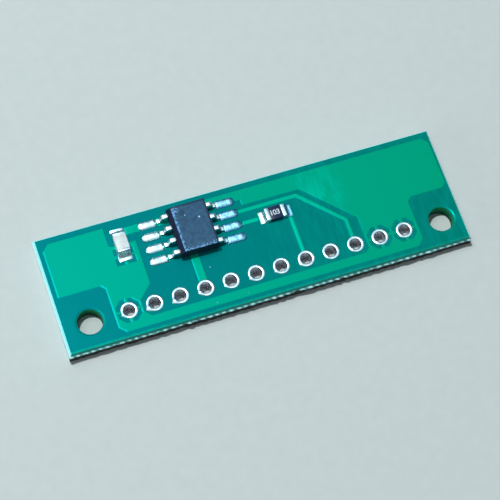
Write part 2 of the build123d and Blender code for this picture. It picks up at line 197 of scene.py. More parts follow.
def cut_laminate(name, deep, shallow, low, high):
    """FR-4 cut by a tool: smooth, faintly lined, its colour changing from height low to high."""
    material, tree, surface, place = new_material(name)
    height = add_node(tree, "SeparateXYZ", {0: place}).outputs[2]
    rise = add_node(tree, "MapRange", {0: height, 1: low, 2: high}).outputs[0]
    lines = add_node(tree, "Mapping", {"Vector": place, "Scale": TOOL_LINES}).outputs[0]
    cloth = add_node(tree, "TexNoise", {"Vector": lines, "Scale": 1.0, "Detail": 3.0}).outputs[0]
    shift = add_node(tree, "MapRange", {0: cloth, 1: 0.3, 2: 0.7, 3: -0.2, 4: 0.2}).outputs[0]
    rise = add_node(tree, "Math", {0: rise, 1: shift}, operation="ADD", use_clamp=True).outputs[0]
    colour = add_node(
        tree, "Mix", {0: rise, 6: srgb(deep), 7: srgb(shallow)}, data_type="RGBA"
    ).outputs[2]
    bump = add_node(tree, "Bump", {"Height": cloth, "Strength": 0.25, "Distance": 0.03 / METRE})
    feed(surface, {"Base Color": colour, "Normal": bump.outputs[0]})
    feed(surface, {"Roughness": 0.6, "Specular IOR Level": 0.06})
    return material


def rim_at(work, level):
    """Open edges that lie at a height."""
    return [
        e for e in work.edges if e.is_boundary and all(abs(v.co.z - level) < WELD for v in e.verts)
    ]


MASK_LOW = laminate_top + 0.038  # top of the coat where no copper lies under it
LEVEL_SLACK = 0.005  # keeps a test of height clear of rounding
FOIL_SLACK = 0.0015  # the bare foil's level, told from the coat's
YELLOWS_AND_SHEEN = (-14.0, 22.0)  # along the board, from the bluest green to the yellowest
BRUSHED = (-2.0, 5.0)  # along the board, from faint streaks to plain ones
FRONT_BORDER = 0.45  # width of the lighter border along the front
HIGHLIGHT_CENTRE = (7.6, 2.9, mask_top)
HIGHLIGHT_SHARE = (0.34, 0.26, 0.0)  # 1 over half the smear's length, and over half its width
STREAKS = (2.0, 0.45, 1.0)  # to the millimetre: narrow, and long from front to back
FRONT_PATCH_GRAIN = 1 / 3
RIPPLE = 1 / 0.9


def solder_mask():
    """Liquid photo-imaged solder mask: glossy green, lighter where copper lies under it, with
    faint streaks from the squeegee."""
    material, tree, surface, place = new_material("lpi_solder_mask_cured_glossy")
    along, across, height = add_node(tree, "SeparateXYZ", {0: place}).outputs[:]
    over_copper = add_node(
        tree, "MapRange", {0: height, 1: MASK_LOW + LEVEL_SLACK, 2: mask_top - LEVEL_SLACK}
    ).outputs[0]
    on_foil = add_node(
        tree, "Math", {0: height, 1: copper_top, 2: FOIL_SLACK}, operation="COMPARE"
    ).outputs[0]
    over_copper = add_node(
        tree, "Math", {0: over_copper, 1: on_foil}, operation="MAXIMUM"
    ).outputs[0]
    # the coat runs yellower towards the right end, and lighter and bluer towards the left: partly
    # its own drift, partly a painted sheen of the bright room on that side
    lean_and_sheen = add_node(tree, "MapRange", {0: along, 1: YELLOWS_AND_SHEEN[0], 2: YELLOWS_AND_SHEEN[1]}).outputs[0]
    weave = add_node(tree, "Mapping", {"Vector": place, "Scale": STREAKS}).outputs[0]
    streak = add_node(
        tree, "TexNoise", {"Vector": weave, "Scale": 1.0, "Detail": 3.0, "Distortion": 0.6}
    ).outputs[0]
    streak = add_node(tree, "MapRange", {0: streak, 1: 0.38, 2: 0.72, 3: 0.0, 4: 0.6}).outputs[0]
    brushed = add_node(
        tree, "MapRange", {0: along, 1: BRUSHED[0], 2: BRUSHED[1], 3: 0.15, 4: 1.0}
    ).outputs[0]
    streak = add_node(tree, "Math", {0: streak, 1: brushed}, operation="MULTIPLY").outputs[0]
    bare = add_node(
        tree, "Mix", {0: lean_and_sheen, 6: srgb("007278"), 7: srgb("007465")}, data_type="RGBA"
    ).outputs[2]
    bare = add_node(
        tree, "Mix", {0: streak, 6: bare, 7: srgb("008E84")}, data_type="RGBA"
    ).outputs[2]
    # a patchy lighter border along the front, where the board was snapped off; its fading from
    # left to right is a painted sheen
    front_patches = add_node(
        tree, "TexNoise", {"Vector": place, "Scale": 1 / FRONT_PATCH_GRAIN, "Detail": 4.0}
    ).outputs[0]
    border = add_node(
        tree, "MapRange", {0: across, 1: -top_y, 2: -top_y + FRONT_BORDER, 3: 0.75, 4: -0.25}
    ).outputs[0]
    front_patches = add_node(tree, "Math", {0: front_patches, 1: border}, operation="ADD").outputs[0]
    front_patches = add_node(tree, "MapRange", {0: front_patches, 1: 0.75, 2: 1.15}).outputs[0]
    sheen_fade = add_node(tree, "MapRange", {0: lean_and_sheen, 1: 0.0, 2: 1.0, 3: 0.85, 4: 0.3}).outputs[0]
    front_patches = add_node(tree, "Math", {0: front_patches, 1: sheen_fade}, operation="MULTIPLY").outputs[0]
    bare = add_node(
        tree, "Mix", {0: front_patches, 6: bare, 7: srgb("00A890")}, data_type="RGBA"
    ).outputs[2]
    copper = add_node(
        tree, "Mix", {0: lean_and_sheen, 6: srgb("00A488"), 7: srgb("009A72")}, data_type="RGBA"
    ).outputs[2]
    # the film's own attribute: 1 where the coat is drawn thin over a narrow track
    slim = add_node(tree, "Attribute", attribute_name="slim").outputs["Fac"]
    copper = add_node(
        tree, "Mix", {0: slim, 6: copper, 7: srgb("00C49E")}, data_type="RGBA"
    ).outputs[2]
    # a painted highlight: a paler smear on the ground area, broken up by the coat's own streaks
    highlight_smear = add_node(
        tree, "VectorMath", {0: place, 1: HIGHLIGHT_CENTRE}, operation="SUBTRACT"
    ).outputs[0]
    highlight_smear = add_node(
        tree, "VectorMath", {0: highlight_smear, 1: HIGHLIGHT_SHARE}, operation="MULTIPLY"
    ).outputs[0]
    highlight_smear = add_node(tree, "VectorMath", {0: highlight_smear}, operation="LENGTH").outputs["Value"]
    highlight_smear = add_node(tree, "MapRange", {0: highlight_smear, 1: 0.2, 2: 1.0, 3: 1.4, 4: 0.0}).outputs[0]
    highlight_smear = add_node(
        tree, "Math", {0: highlight_smear, 1: streak}, operation="MULTIPLY", use_clamp=True
    ).outputs[0]
    copper = add_node(
        tree, "Mix", {0: highlight_smear, 6: copper, 7: srgb("00C2A4")}, data_type="RGBA"
    ).outputs[2]
    colour = add_node(
        tree, "Mix", {0: over_copper, 6: bare, 7: copper}, data_type="RGBA"
    ).outputs[2]
    ripple = add_node(
        tree, "TexNoise", {"Vector": place, "Scale": 1 / RIPPLE, "Detail": 3.0}
    ).outputs[0]
    bump = add_node(tree, "Bump", {"Height": ripple, "Strength": 0.22, "Distance": 0.02 / METRE})
    feed(surface, {"Base Color": colour, "Normal": bump.outputs[0]})
    feed(surface, {"Roughness": 0.29, "IOR": 1.5, "Specular Tint": srgb("00F4F0")})
    return material


work = copy_of("board_laminate")
top_x = max(v.co.x for v in work.verts if v.co.z > laminate_top - WELD)
top_y = max(v.co.y for v in work.verts if v.co.z > laminate_top - WELD)
snapped = torn_glass("fr4_glass_epoxy_snapped", "86B0B0", "DCFFFF")
# a near black copy of the torn glass for the front's web, as painted shade; the other edges keep
# the pale one
snapped_painted_shade = torn_glass("fr4_glass_epoxy_snapped_painted_shade", "1A1610", "36322A")
# drilled walls: darker downward as painted shade in the bore, and vivid green near the top as a
# painted glow of light through the laminate
drilled = cut_laminate("fr4_drilled_painted_shade_and_glow", "063A2C", "00A46C", 0.15, 1.30)
# scored facets: the laminate's pale tone, raised to near white lower down as a painted glow
scored = cut_laminate("fr4_scored", "E6FFFF", "86F6FA", 1.10, 1.50)
stained = cut_laminate("fr4_scored_under_mask_edge", "3C8A80", "24A892", 1.18, 1.35)
mask = solder_mask()
core_finishes = [snapped, mask, drilled, scored, stained, snapped_painted_shade]
SNAPPED, MASKED, DRILLED_SHADE_AND_GLOW, SCORED_GLOW, STAINED, SNAPPED_PAINTED_SHADE = range(len(core_finishes))

# the solid's own edge goes, and a torn one is drawn down from the rim of the top face
ridge = board_high.x - top_x
beyond = [
    f for f in work.faces
    if abs(f.calc_center_median().x) > top_x + WELD or abs(f.calc_center_median().y) > top_y + WELD
]
bmesh.ops.delete(work, geom=beyond, context="FACES")
rims = {}
for name, level in (("top", laminate_top), ("bottom", 0.0)):
    for edge in rim_at(work, level):
        cuts = round(edge.calc_length() / EDGE_STEP) - 1
        bmesh.ops.subdivide_edges(work, edges=[edge], cuts=cuts)
    rims[name] = rim_at(work, level)

# rows of the edge from the top down: how far out, as a share of the ridge, and how deep. Along
# the front the web reaches down to half a cut above the underside and is painted near black: a
# painted shade standing in for the shadow under that edge.
WEB_ROWS = 4
score_cut = [(0.24, 0.06), (0.44, 0.15), (0.61, 0.25), (0.76, 0.34), (0.89, 0.42), (1.0, 0.50)]
front_cut = [(0.14, 0.13), (0.26, 0.25), (0.36, 0.34), (0.58, 0.41), (0.80, 0.46), (1.0, 0.50)]
TORN_FROM = 3  # the front edge's first row of torn glass
TUFT_RISE = 0.09


def web_rows(cuts):
    """Rows of the torn web below the upper cut, over what that many cuts leave of the board."""
    return [
        (1.0, SCORE + (laminate_top - cuts * SCORE) * step / WEB_ROWS)
        for step in range(1, WEB_ROWS + 1)
    ]


web, front_web_shade = web_rows(2.0), web_rows(1.5)
rows = []
lowest = rims["top"]
for row in range(len(score_cut) + len(web)):
    points, lowest = draw_out(work, lowest)
    rows.append(points)
for row, verts in enumerate(rows):
    for v in verts:
        x, y = v.co.xy
        at_front = y < -top_y + WELD
        out, depth = (front_cut + front_web_shade if at_front else score_cut + web)[row]
        z = laminate_top - depth
        back = 0.0
        if row >= (TORN_FROM if at_front else len(score_cut) - 1):
            tear = torn(x, y, z)
            back = TEAR_DEPTH * tear + EDGE_SLACK
            if at_front and row < len(front_cut):
                z += TUFT_RISE * (0.5 - tear)
        reach = ridge * out - back
        v.co = (
            x + (reach * (1 if x > 0 else -1) if abs(x) > top_x - WELD else 0.0),
            y + (reach * (1 if y > 0 else -1) if abs(y) > top_y - WELD else 0.0),
            z,
        )
bmesh.ops.bridge_loops(work, edges=lowest + rims["bottom"])
bmesh.ops.recalc_face_normals(work, faces=work.faces)
for face in work.faces:
    middle = face.calc_center_median()
    depth = laminate_top - middle.z
    if middle.z < WELD or depth < WELD:
        face.material_index = MASKED
    elif abs(middle.x) < top_x and abs(middle.y) < top_y:
        face.material_index = DRILLED_SHADE_AND_GLOW
    elif middle.y < -top_y:
        # below the stained rows, the front's web takes the painted shade
        face.material_index = STAINED if depth < front_cut[TORN_FROM - 1][1] else SNAPPED_PAINTED_SHADE
    else:
        face.material_index = SCORED_GLOW if depth < SCORE else SNAPPED
add_piece("board_core", work, core_finishes, ["board_laminate"], crease=40)

# ---- Copper foil -------------------------------------------------------------------------------
# 35 micron foil etched into five nets and four lone pads. Solder covers it inside the openings of
# the mask. What shows of it round a joint is the hair's breadth that the mask ran over.

nets = ["ground_copper", "supply_copper", "pin_7_copper", "pin_6_copper", "resistor_track_copper"]
lone_pads = [f"chip_pad_{pin}" for pin in (2, 3, 4, 5)]
for foil in nets + lone_pads:
    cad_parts[foil].data.materials.clear()
    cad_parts[foil].data.materials.append(mask)

# ---- Solder mask -------------------------------------------------------------------------------
# A cured green film, about 20 micron thick. It flows over the edge of the foil as a soft slope,
# so every track and the ground area stand out as a step.

# each upright wall of the film becomes a slope: its foot moves out, or its brow moves in
SLOPE_OUT = 0.05
SLOPE_IN = 0.10
OPENING_SLOPE = 0.03
RIM_SLOPE = 0.15  # round the mounting holes
# the mounting holes' places from the ends of the board, and a circle that holds their rims
MOUNT_FROM_RIGHT, MOUNT_FROM_LEFT, MOUNT_REACH = 1.99, 2.6, 1.5
FACES_UP = 0.9
SHARPEST = -0.5  # past this corner the slope isn't widened any more
# a slope that turned a top face over is halved until it no longer does
UPRIGHT = 0.5
EASE_ROUNDS = 12
# how much lighter the coat is over a narrow track, where it is drawn thin
SLIM = {
    "pin_7_copper": 0.5, "pin_6_copper": 0.8, "resistor_track_copper": 0.9, "supply_copper": 0.3,
}
SLIM_NEAR = 0.15  # from a corner of that track

work = copy_of("top_solder_mask")
slim = work.verts.layers.float.new("slim")
work.normal_update()
film_x = max(v.co.x for v in work.verts)
film_y = max(v.co.y for v in work.verts)
mount_x = board_high.x - ridge - MOUNT_FROM_RIGHT, board_low.x + ridge + MOUNT_FROM_LEFT
ring_low, ring_high = size_of("plated_hole_01")
row_y = (ring_low.y + ring_high.y) / 2
ring_outer = (ring_high.x - ring_low.x) / 2
# the film's top where no copper lies under it
film = {
    v for v in work.verts
    if abs(v.co.z - copper_top) < WELD * 3 and any(f.normal.z > FACES_UP for f in v.link_faces)
}
skyward = [f for f in work.faces if f.normal.z > FACES_UP]
moves = {}
for edge in work.edges:
    low, high = sorted(edge.verts, key=lambda v: v.co.z)
    if hypot(high.co.x - low.co.x, high.co.y - low.co.y) > WELD or len(edge.link_faces) != 2:
        continue
    first, second = (f.normal.xy for f in edge.link_faces)
    outward = (first + second) / (1 + max(first.dot(second), SHARPEST))
    at_border = abs(high.co.x) > film_x - WELD or abs(high.co.y) > film_y - WELD
    at_mount = any(hypot(high.co.x - x, high.co.y - row_y) < MOUNT_REACH for x in mount_x)
    if at_border:
        moves[low] = outward * (top_x - film_x)
        moves[high] = outward * (top_x - film_x - EDGE_SLACK)
    elif low in film:
        moves[low] = outward * SLOPE_OUT
        moves[high] = -outward * SLOPE_IN
    elif at_mount:
        moves[high] = -outward * RIM_SLOPE
    elif high.co.z > copper_top + WELD or high in film:
        moves[low] = outward * OPENING_SLOPE
home = {v: v.co.xy for v in work.verts}  # where each point stood
for v in film:
    v.co.z = MASK_LOW
for _ in range(EASE_ROUNDS):
    for v, move in moves.items():
        v.co.xy = home[v] + move
    work.normal_update()
    turned = {v for f in skyward if f.normal.z < UPRIGHT for v in f.verts if v in moves}
    for v in turned:
        moves[v] = moves[v] / 2
for node, share in SLIM.items():
    corners = [v.co.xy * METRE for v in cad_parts[node].data.vertices]
    for v in work.verts:
        if any((home[v] - corner).length < SLIM_NEAR for corner in corners):
            v[slim] = share
add_piece("solder_mask_film", work, [mask], ["top_solder_mask"], crease=2)

# ---- Plated wire holes -------------------------------------------------------------------------
# Drilled holes plated with copper and tinned. The hot air leaves the ring domed, with a lump of
# solder where the bath last ran off, and the board was lifted out by its back right corner.

RING_STEPS = 48
CROWN_STEPS = 9
RING_SPREAD = 0.07  # how far the crown reaches out past the solid ring
RING_RISE = 0.05  # height of its arch, which springs RING_FOOT / 2 below the solid ring's top
RING_FOOT = 0.03  # below the top of the solid ring, where the crown comes down outside
BORE = 0.55
LIP = 0.006  # how far out from the bore's wall the crown starts
THROAT = 0.10  # below the top of the solid ring, where the dull barrel begins
CHAMFER = 0.03
SOLDER_DIMPLE = 0.3125
TIP_ROUND = 0.15  # in radians as seen from the hole's axis
RING_WAVE = 0.02
FILM_BED = 0.022  # height of a lump's underside over the copper
# hole: direction of the lump in degrees from +X, its reach past the ring, and its height
lumps = {
    1: (204, 0.22, 0.08), 2: (209, 0.48, 0.11), 3: (212, 0.46, 0.11), 4: (206, 0.22, 0.08),
    5: (210, 0.21, 0.07), 6: (212, 0.19, 0.07), 7: (212, 0.21, 0.07), 8: (212, 0.19, 0.05),
    9: (222, 0.13, 0.04), 10: (226, 0.11, 0.04), 11: (232, 0.11, 0.04), 12: (224, 0.14, 0.05),
}


def ring_profile(top):
    """Half of the tinned hole, cut through its axis: radius and height. The crown lies outside."""
    wall = ring_outer + RING_SPREAD - BORE
    yield from [(BORE, CHAMFER), (BORE, top - 3 * THROAT), (BORE, top - 1.7 * THROAT)]
    yield (BORE + LIP / 3, top - THROAT)
    for step in range(1, CROWN_STEPS):
        turn = pi * step / CROWN_STEPS
        share = 0.5 - 0.5 * cos(turn)
        yield (BORE + LIP + (wall - LIP) * share, top - RING_FOOT / 2 + RING_RISE * sin(turn))
    yield from [(BORE + wall, top - RING_FOOT), (ring_outer, top - 0.05), (ring_outer, CHAMFER)]
    yield from [(ring_outer - CHAMFER, 0.0), (BORE + CHAMFER, 0.0)]


def tin_lead(name, shade, light, rough, grain_size=SOLDER_DIMPLE, relief=0.2):
    """Hot-air levelled solder: bright, and softly dimpled where it froze."""
    material, tree, surface, place = new_material(name)
    grain = add_node(
        tree, "TexNoise", {"Vector": place, "Scale": 1 / grain_size, "Detail": 2.0}
    ).outputs[0]
    colour = add_node(
        tree, "Mix", {0: grain, 6: srgb(shade), 7: srgb(light)}, data_type="RGBA"
    ).outputs[2]
    uneven = add_node(
        tree, "MapRange", {0: grain, 1: 0.35, 2: 0.65, 3: rough, 4: rough + 0.1}
    ).outputs[0]
    bump = add_node(tree, "Bump", {"Height": grain, "Strength": relief, "Distance": 0.03 / METRE})
    feed(surface, {"Base Color": colour, "Normal": bump.outputs[0]})
    feed(surface, {"Metallic": 1.0, "Roughness": uneven})
    return material


solder = tin_lead("solder_hot_air_levelled", "B4DEF0", "E2FAFF", 0.24, relief=0.12)
barrel = tin_lead("solder_thin_and_dull_in_the_barrel", "A8A4B2", "F0EEF6", 0.34)
hole_finishes = [solder, barrel]
BRIGHT, DULL = range(len(hole_finishes))
brim = ring_outer + RING_SPREAD
for number, (direction, reach, height) in lumps.items():
    node = f"plated_hole_{number:02d}"
    low, high = size_of(node)
    centre = (low + high) / 2
    work = bmesh.new()
    points = [work.verts.new((radius, 0, z)) for radius, z in ring_profile(ring_high.z)]
    edges = [work.edges.new((a, b)) for a, b in zip(points, points[1:] + points[:1])]
    bmesh.ops.spin(
        work, geom=points + edges, cent=(0, 0, 0), axis=(0, 0, 1), angle=2 * pi,
        steps=RING_STEPS, use_merge=True,
    )
    bmesh.ops.remove_doubles(work, verts=work.verts, dist=WELD)
    bmesh.ops.recalc_face_normals(work, faces=work.faces)
    # the lump's outline: from both sides a straight line that leaves the ring and meets the tip
    grip = acos(brim / (brim + reach))
    tip = brim / cos(grip - TIP_ROUND) - brim
    for v in work.verts:
        radius = hypot(v.co.x, v.co.y)
        turn = atan2(v.co.y, v.co.x) - radians(direction)
        turn = hypot(atan2(sin(turn), cos(turn)), TIP_ROUND)  # off the lump's direction
        on_top = v.co.z > copper_top - RING_FOOT
        swell = brim / cos(max(grip - turn, 0.0)) - brim if on_top else 0.0
        outer = min(max((radius - BORE) / (brim - BORE), 0.0), 1.0)
        wave = RING_WAVE * noise.noise(v.co * 2.2 + Vector((number * 7.0, 0, 0))) * outer
        factor = 1 + (swell * outer**1.5 + wave) / radius
        v.co.x *= factor
        v.co.y *= factor
        near = min(swell / tip, 1.0)
        if v.co.z > copper_top + LEVEL_SLACK:
            v.co.z += near * height * sin(pi * outer) ** 0.6
        elif near and outer > 0.9:
            v.co.z = max(v.co.z, copper_top + FILM_BED * near)
    bmesh.ops.translate(work, vec=(centre.x, centre.y, 0), verts=work.verts)
    for face in work.faces:
        middle = face.calc_center_median()
        in_bore = hypot(middle.x - centre.x, middle.y - centre.y) < BORE + 0.02
        face.material_index = DULL if in_bore and middle.z < ring_high.z - THROAT else BRIGHT
    add_piece(f"tinned_hole_{number:02d}", work, hole_finishes, [node], crease=60)

# ---- Stray solder ------------------------------------------------------------------------------
# Four small beads of solder from the bath. The hot air blew them off the pads, and they froze
# where they stuck to the mask.

# how far right, how far back, radius
BEADS = ((-12.96, 2.99, 0.06), (-4.98, -1.48, 0.07), (-5.48, -5.10, 0.04), (-2.30, -5.05, 0.04))
work = bmesh.new()
for x, y, radius in BEADS:
    bmesh.ops.create_icosphere(
        work, subdivisions=2, radius=radius, matrix=Matrix.Translation((x, y, mask_top))
    )
add_piece("solder_beads", work, [solder])

# ---- Chip: leads and their solder joints -------------------------------------------------------
# Eight gull-wing leads, stamped from copper alloy strip, tin plated and bent. Each foot stands on
# the inner end of a long pad, whose solder froze as a bar: smooth at left, crinkled at right,
# where it is also painted darker and bluer as shade.

LEFT, RIGHT = FRONT, BACK = -1, 1
LEAD_ROUND = 0.05
PAD_WIDTH = 0.84
ROOT_GAP = {LEFT: 0.15, RIGHT: 0.0}  # how far short of its pad's inner end the solder stops
JOINT_BED = copper_top + 0.012  # height of a joint's rim
JOINT_SKIRT = 0.02  # how far it reaches down from there
JOINT_PROUD = 0.03  # how much taller a bar is than the solid joint, each from its own foot
JOINT_WAVE = 0.10
SHOULDER = 1 / 1.6  # exponent that rounds a joint off towards its sides
TIN_CLOUD = 0.2
CRINKLE = 1 / 5.5
# shares of a bar's length that its ends take, and how much narrower the inner one is
ROOT_SLOPE, TAIL_SLOPE, ROOT_TAPER, ROOT_NARROWS = 0.10, 0.22, 0.07, 0.15


def plated_tin(name, shade, light, rough):
    """Electroplated tin: soft satin reflections, faintly clouded."""
    material, tree, surface, place = new_material(name)
    fine = add_node(
        tree, "TexNoise", {"Vector": place, "Scale": 1 / TIN_CLOUD, "Detail": 3.0}
    ).outputs[0]
    colour = add_node(
        tree, "Mix", {0: fine, 6: srgb(shade), 7: srgb(light)}, data_type="RGBA"
    ).outputs[2]
    bump = add_node(tree, "Bump", {"Height": fine, "Strength": 0.3, "Distance": 0.02 / METRE})
    feed(surface, {"Base Color": colour, "Normal": bump.outputs[0]})
    feed(surface, {"Metallic": 1.0, "Roughness": rough})
    return material


def round_edges(work, radius, segments=3, least=25):
    """Joins the triangles of flat faces and takes the sharpness off the edges between them."""
    bmesh.ops.dissolve_limit(work, angle_limit=radians(2), verts=work.verts, edges=work.edges)
    sharp = [e for e in work.edges if e.calc_face_angle(0.0) > radians(least)]
    bmesh.ops.bevel(
        work, geom=sharp, offset=radius, affect="EDGES", segments=segments, profile=0.5,
        material=-1, clamp_overlap=True,
    )
    bmesh.ops.recalc_face_normals(work, faces=work.faces)


def solder_bar(start, length, half_width, height, out, seed, crown):
    """A solder joint: a grid laid from start along out, with its half width and its height given
    for each share t of its length. The larger the crown, the flatter it is across."""
    across = Vector((-out.y, out.x, 0))
    work = bmesh.new()
    bmesh.ops.create_grid(work, x_segments=36, y_segments=16, size=1.0)
    for v in work.verts:
        t = 0.5 - 0.5 * cos(pi * (v.co.x + 1) / 2)
        side = sin(v.co.y * pi / 2)
        # both ends come down to the pad, so that the bar closes with a flat face underneath
        at_end = min(t, 1 - t) < 1e-4
        lift = 0.0 if at_end else (1 - abs(side) ** crown) ** SHOULDER * height(t)
        spot = start + out * (length * t) + across * (half_width(t) * side)
        wave = noise.noise(spot * 2.1 + Vector((seed * 3.1, 0, 0)))
        v.co = spot + Vector((0, 0, lift * (1 + JOINT_WAVE * wave)))
    bmesh.ops.remove_doubles(work, verts=work.verts, dist=WELD / 2)
    rim = [e for e in work.edges if e.is_boundary]
    skirt, rim = draw_out(work, rim)
    bmesh.ops.translate(work, vec=(0, 0, -JOINT_SKIRT), verts=list(skirt))
    bmesh.ops.holes_fill(work, edges=rim, sides=0)
    bmesh.ops.recalc_face_normals(work, faces=work.faces)
    return work


tinned_lead = plated_tin("tin_on_stamped_copper", "B8C6D4", "EEF6FC", 0.32)
# the crinkled solder is also a darker, bluer copy of the bright one: painted shade
crinkled = tin_lead("solder_hot_air_levelled_crinkled_and_shaded", "3E96D0", "AEE8FF", 0.30, CRINKLE, 0.8)
for pin in range(1, 9):
    node = f"chip_lead_{pin}"
    work = copy_of(node)
    round_edges(work, LEAD_ROUND)
    add_piece(f"lead_{pin}", work, [tinned_lead], [node])

    node = f"chip_solder_{pin}"
    low, high = size_of(node)
    side = LEFT if pin <= 4 else RIGHT
    inner = (low.x if side == RIGHT else high.x) + side * ROOT_GAP[side]
    pad_length = high.x - low.x - ROOT_GAP[side]
    middle = (low.y + high.y) / 2

    def bar_half_width(t, reach=pad_length, half=PAD_WIDTH / 2):
        tail = max(0.0, reach * t - (reach - half)) / half
        root = max(0.0, 1 - t / ROOT_TAPER)
        return half * sqrt(max(0.0, 1 - tail**2)) * (1 - ROOT_NARROWS * root**2)

    def bar_height(t, top=high.z - copper_top + JOINT_PROUD):
        return top * min(1.0, t / ROOT_SLOPE) ** 0.5 * min(1.0, (1 - t) / TAIL_SLOPE) ** 0.5

    work = solder_bar(
        Vector((inner, middle, JOINT_BED)), pad_length, bar_half_width, bar_height,
        Vector((side, 0, 0)), pin, crown=3.4,
    )
    # the right joints take the crinkled solder with its painted shade
    finish = solder if side == LEFT else crinkled
    add_piece(f"lead_joint_{pin}", work, [finish], [node], crease=50)

# ---- Chip: moulded body ------------------------------------------------------------------------
# Black epoxy, moulded round the leads with a draft above and below the parting line. The edge on
# the side of pin 1 is bevelled, and the top was rubbed with a coarse paper.

DRAFT = 0.088
BEVEL_IN = 0.42
CHIP_ROUND = 0.03
DIMPLE_RADIUS = 0.31
DIMPLE_STEPS = ((0.03, 0.015), (0.05, 0.045))  # how far in and how deep
chip_low, chip_high = size_of("chip_body")
chip_centre = (chip_low + chip_high) / 2
DIMPLE_CENTRE = Vector((chip_low.x + 1.25, chip_high.y - 0.92, chip_high.z))
TOP_LEFT = chip_low.x + DRAFT + BEVEL_IN  # where the flat top begins
# the scuffs thin out between these distances from the left, from the front and from one corner
SCUFFS_LEFT, SCUFFS_FRONT, SCUFFS_CORNER = (-0.02, 0.42), (0.12, 0.95), (0.30, 1.20)
SCUFFED_CORNER = (TOP_LEFT + 0.1, chip_high.y - 0.45, chip_high.z)
CHIP_SPECKS = (((-4.64, 3.20, chip_high.z), 0.10), ((-5.90, 3.73, chip_high.z), 0.06))
RUB_AND_SHEEN_DEPTH = (0.10, 0.03)  # below the top: from bare moulding to full rubbing and painted sheen
EDGE_SHADE = (0.24, 0.14)  # inwards from the far edges, the same
GRIT = 0.125  # the silica in it is too fine to show, so it is drawn coarser
FLECK, RUB_CLOUD = 0.2, 1 / 2.6


def moulded_epoxy():
    """Silica-filled moulding compound: near black as moulded; its top is a lighter blue-grey,
    partly rubbed and partly a painted sheen of the bright room overhead, with pale scuffs along
    its left and front edges."""
    material, tree, surface, place = new_material("epoxy_moulding_compound_rubbed_and_sheen")
    grit = add_node(
        tree, "TexNoise", {"Vector": place, "Scale": 1 / GRIT, "Detail": 5.0, "Roughness": 0.7}
    ).outputs[0]
    x, y, z = add_node(tree, "SeparateXYZ", {0: place}).outputs[:]
    moulded = add_node(
        tree, "Mix", {0: grit, 6: srgb("060B16"), 7: srgb("1C2A48")}, data_type="RGBA"
    ).outputs[2]
    cloud = add_node(
        tree, "TexNoise",
        {"Vector": place, "Scale": 1 / RUB_CLOUD, "Detail": 6.0, "Roughness": 0.75},
    ).outputs[0]
    cloud = add_node(tree, "MapRange", {0: cloud, 1: 0.38, 2: 0.62}).outputs[0]
    rubbed = add_node(
        tree, "Mix", {0: cloud, 6: srgb("103C5E"), 7: srgb("36688E")}, data_type="RGBA"
    ).outputs[2]
    rubbed = add_node(
        tree, "Mix", {0: grit, 6: rubbed, 7: srgb("365872")}, data_type="RGBA"
    ).outputs[2]
    near_edge, far_edge = SCUFFS_LEFT
    from_left = add_node(
        tree, "MapRange", {0: x, 1: TOP_LEFT + near_edge, 2: TOP_LEFT + far_edge, 3: 1.0, 4: 0.0}
    ).outputs[0]
    near_edge, far_edge = SCUFFS_FRONT
    from_front = add_node(
        tree, "MapRange",
        {0: y, 1: chip_low.y + near_edge, 2: chip_low.y + far_edge, 3: 0.95, 4: 0.0},
    ).outputs[0]
    near_edge, far_edge = SCUFFS_CORNER
    corner = add_node(
        tree, "VectorMath", {0: place, 1: SCUFFED_CORNER}, operation="DISTANCE"
    ).outputs["Value"]
    corner = add_node(
        tree, "MapRange", {0: corner, 1: near_edge, 2: far_edge, 3: 0.85, 4: 0.0}
    ).outputs[0]
    edge = add_node(tree, "Math", {0: from_left, 1: from_front}, operation="MAXIMUM").outputs[0]
    edge = add_node(tree, "Math", {0: edge, 1: corner}, operation="MAXIMUM").outputs[0]
    flecks = add_node(
        tree, "TexNoise", {"Vector": place, "Scale": 1 / FLECK, "Detail": 5.0, "Roughness": 0.85}
    ).outputs[0]
    reach = add_node(tree, "MapRange", {0: edge, 1: 0.0, 2: 1.0, 3: 0.72, 4: 0.46}).outputs[0]
    scuff = add_node(tree, "Math", {0: flecks, 1: reach}, operation="SUBTRACT").outputs[0]
    scuff = add_node(tree, "MapRange", {0: scuff, 1: 0.0, 2: 0.07}).outputs[0]
    rubbed = add_node(
        tree, "Mix", {0: scuff, 6: rubbed, 7: srgb("7EBCF8")}, data_type="RGBA"
    ).outputs[2]
    # small nicks, each with a soft rim
    for centre, radius in CHIP_SPECKS:
        speck = add_node(
            tree, "VectorMath", {0: place, 1: centre}, operation="DISTANCE"
        ).outputs["Value"]
        speck = add_node(
            tree, "MapRange", {0: speck, 1: radius * 0.6, 2: radius * 1.2, 3: 1.0, 4: 0.0}
        ).outputs[0]
        rubbed = add_node(
            tree, "Mix", {0: speck, 6: rubbed, 7: srgb("A4DCFF")}, data_type="RGBA"
        ).outputs[2]
    # painted sheen: the lighter rubbed tone lies on the top face only
    deep, shallow = RUB_AND_SHEEN_DEPTH
    top = add_node(
        tree, "MapRange", {0: z, 1: chip_high.z - deep, 2: chip_high.z - shallow}
    ).outputs[0]
    # painted shade: the lighter top tone fades out along the far right and back edges
    inner, outer = EDGE_SHADE
    for axis, end in ((x, chip_high.x - DRAFT), (y, chip_high.y - DRAFT)):
        shaded_edge = add_node(
            tree, "MapRange", {0: axis, 1: end - inner, 2: end - outer, 3: 1.0, 4: 0.25}
        ).outputs[0]
        top = add_node(tree, "Math", {0: top, 1: shaded_edge}, operation="MULTIPLY").outputs[0]
    colour = add_node(tree, "Mix", {0: top, 6: moulded, 7: rubbed}, data_type="RGBA").outputs[2]
    bump = add_node(tree, "Bump", {"Height": grit, "Strength": 0.5, "Distance": 0.03 / METRE})
    feed(surface, {"Base Color": colour, "Normal": bump.outputs[0]})
    feed(surface, {"Roughness": 0.55, "Specular IOR Level": 0.15})
    return material


